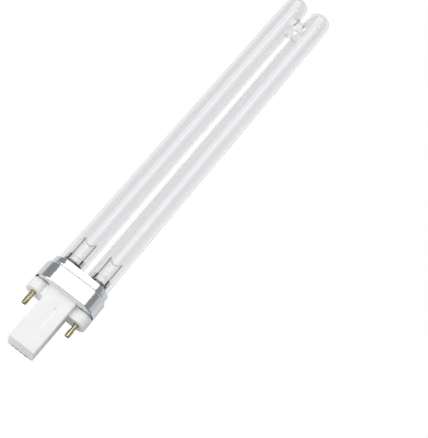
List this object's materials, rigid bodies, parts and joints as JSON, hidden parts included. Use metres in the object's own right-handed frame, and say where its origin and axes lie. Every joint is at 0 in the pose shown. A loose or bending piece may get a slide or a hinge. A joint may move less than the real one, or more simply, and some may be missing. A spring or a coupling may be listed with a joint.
{
  "type": "ultraviolet lamp",
  "caption": "Twin-tube ultraviolet lamp for a pond clarifier: two clear tubes joined near their tips, a metal shell, and a white two-pin plug-in base with a starter post.",
  "frame": {"origin": "midway between the two pins, on the seating face that meets the lamp holder", "axes": "X across the two tubes, +Y along the lamp towards the tube tips, +Z out of the front face; the lamp lies on its back"},
  "size_m": [0.0314, 0.2349, 0.0162],
  "materials": {
    "clear_tube_glass": "clear drawn quartz glass, polished",
    "stem_glass": "clear pressed glass",
    "nickel_lead_wire": "drawn nickel-plated wire",
    "oxide_coated_coil": "white oxide paste on tungsten",
    "mercury": "liquid mirror",
    "bright_aluminium": "bright drawn sheet",
    "holder_ceramic": "unglazed white ceramic",
    "basing_cement": "fine grey-white cement",
    "white_base_plastic": "moulded white polyester, satin",
    "pin_brass": "rolled brass, bright",
    "starter_glass": "clear blown glass",
    "bimetal_strip": "rolled strip",
    "capacitor_lacquer": "dipped lacquer",
    "tinned_wire": "tinned"
  },
  "bodies": {
    "lamp": {"twin_tube": "clear_tube_glass", "left_stem": "stem_glass", "right_stem": "stem_glass", "left_outer_lead": "nickel_lead_wire", "left_inner_lead": "nickel_lead_wire", "right_inner_lead": "nickel_lead_wire", "right_outer_lead": "nickel_lead_wire", "left_electrode_coil": "oxide_coated_coil", "right_electrode_coil": "oxide_coated_coil", "mercury_bead": "mercury", "metal_shell": "bright_aluminium", "tube_holder": "holder_ceramic", "cement": "basing_cement", "base_body": "white_base_plastic", "starter_cover": "white_base_plastic", "left_pin": "pin_brass", "right_pin": "pin_brass", "starter_bulb": "starter_glass", "starter_stem": "starter_glass", "starter_fixed_lead": "nickel_lead_wire", "starter_hinged_lead": "nickel_lead_wire", "capacitor": "capacitor_lacquer", "capacitor_leads": "tinned_wire", "solder_joints": "tinned_wire", "left_ferrule": "tinned_wire", "right_ferrule": "tinned_wire"},
    "bimetal_strip": {"starter_bimetal": "bimetal_strip"}
  },
  "joints": [
    {"name": "bimetal_bend", "type": "hinge", "parent": "lamp", "child": "bimetal_strip", "pos_m": [-0.00297, -0.0074, 0], "axis": [0, 0, 1], "range_deg": [0, 3.7], "stiffness_Nm_per_rad": 0.0001}
  ]
}
